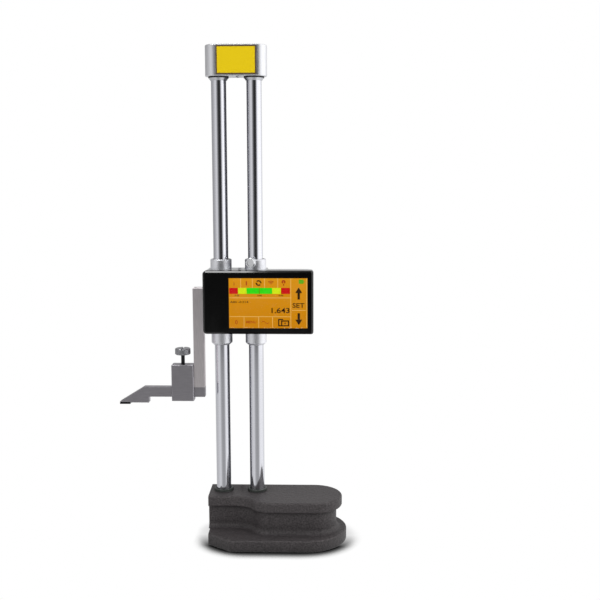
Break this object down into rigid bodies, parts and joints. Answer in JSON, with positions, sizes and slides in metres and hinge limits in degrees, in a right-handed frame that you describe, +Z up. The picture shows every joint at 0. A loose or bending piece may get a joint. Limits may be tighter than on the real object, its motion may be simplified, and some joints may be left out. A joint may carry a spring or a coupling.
{
  "type": "height gauge",
  "caption": "Twin-column digital height gauge: cast base, carriage with touch display and feed wheel on a rack, measuring arm and clamped carbide scriber.",
  "frame": {"origin": "on the ground underside of the base, midway between the two column axes", "axes": "+Z up along the columns, +X towards the rounded handle end of the base, the display faces -Y"},
  "size_m": [0.2222, 0.0794, 0.4775],
  "materials": {
    "hammered_base": "dark grey hammered stoving enamel on cast iron",
    "chromed_column": "ground and hard-chromed, polished",
    "foot_ring": "dark grey rubber",
    "buffer_rubber": "black rubber",
    "black_screw": "black oxide",
    "satin_collar": "satin turned",
    "painted_cap": "satin silver",
    "label_plate": "bare yellow enamel with a dark border",
    "satin_aluminium": "satin anodised",
    "turned_sleeve": "turned satin, fine rings",
    "felt": "grey felt",
    "bronze": "sintered bronze",
    "knurled_chrome": "knurled, bright",
    "ground_steel": "ground, fine grain along its length",
    "dark_steel": "hardened and ground, grey",
    "knurled_steel": "knurled, satin",
    "carbide": "black carbide",
    "gloss_black": "piano black",
    "clear_glass": "clear touch glass",
    "display_panel": "lit amber screen page",
    "circuit_board": "green board",
    "zinc_screw": "zinc plated",
    "socket_steel": "stamped steel shell",
    "battery_foil": "grey foil pouch",
    "gear_steel": "cut and hardened",
    "black_wheel": "black anodised, knurled rim",
    "code_disc": "glass code disc",
    "cover_plastic": "dark grey moulded, fine texture"
  },
  "bodies": {
    "stand": {"base_casting": "hammered_base", "column_left": "chromed_column", "column_right": "chromed_column", "column_foot_rings": "foot_ring", "column_foot_screws": "black_screw", "cap_buffers": "buffer_rubber", "cap_collars": "satin_collar", "top_cap": "painted_cap", "cap_label_plate": "label_plate", "cap_screws": "black_screw"},
    "carriage": {"carriage_block": "satin_aluminium", "upper_sleeve_left": "turned_sleeve", "upper_sleeve_right": "turned_sleeve", "lower_sleeve_left": "turned_sleeve", "lower_sleeve_right": "turned_sleeve", "sleeve_wipers": "felt", "clamp_pad": "bronze", "arm_bar": "ground_steel", "arm_screws": "black_screw", "clamp_box": "dark_steel", "display_bezel": "gloss_black", "touch_glass": "clear_glass", "lcd_panel": "display_panel", "display_backplate": "satin_aluminium", "bezel_screws": "black_screw", "backplate_screws": "black_screw", "main_board": "circuit_board", "board_screws": "zinc_screw", "electronics_housing": "satin_aluminium", "usb_socket": "socket_steel", "battery": "battery_foil", "housing_screws": "black_screw", "gear_frame": "satin_aluminium", "drive_bushes": "bronze", "encoder_bushes": "bronze", "gear_frame_screws": "black_screw", "encoder_reader": "circuit_board", "rear_cover": "cover_plastic", "rear_cover_screws": "black_screw"},
    "feed_wheel": {"drive_pinion_shaft": "gear_steel", "handwheel": "black_wheel", "handwheel_grub_screw": "black_screw"},
    "encoder": {"encoder_pinion_shaft": "gear_steel", "encoder_disc": "code_disc", "encoder_hub": "bronze"},
    "carriage_clamp": {"clamp_stem": "black_screw", "clamp_knob": "knurled_chrome"},
    "thumb_screw": {"thumb_stem": "black_screw", "thumb_head": "knurled_steel"},
    "scriber": {"scriber": "dark_steel", "scriber_tip": "carbide"}
  },
  "joints": [
    {"name": "carriage_slide", "type": "slide", "parent": "stand", "child": "carriage", "axis": [0, 0, 1], "range_m": [-0.13465, 0.16535]},
    {"name": "feed_wheel_turn", "type": "hinge", "parent": "carriage", "child": "feed_wheel", "pos_m": [0.01675, 0.012, 0.2304], "axis": [1, 0, 0], "range_deg": [-1220, 1485]},
    {"name": "encoder_turn", "type": "hinge", "parent": "carriage", "child": "encoder", "pos_m": [0.01675, 0.012, 0.24548], "axis": [1, 0, 0], "range_deg": [-1220, 1485]},
    {"name": "carriage_clamp_turn", "type": "hinge", "parent": "carriage", "child": "carriage_clamp", "pos_m": [0.01675, 0, 0.2739], "axis": [-0.225, -0.9744, 0], "range_deg": [0, 360]},
    {"name": "thumb_screw_turn", "type": "hinge", "parent": "carriage", "child": "thumb_screw", "pos_m": [-0.0544, -0.008, 0.175], "axis": [0, 0, 1], "range_deg": [0, 360]},
    {"name": "scriber_slide", "type": "slide", "parent": "carriage", "child": "scriber", "axis": [1, 0, 0], "range_m": [-0.01, 0.0015]}
  ],
  "couplings": [
    {"joint": "feed_wheel_turn", "follows": "carriage_slide", "rad_per_m": 156.25},
    {"joint": "encoder_turn", "follows": "carriage_slide", "rad_per_m": 156.25}
  ]
}
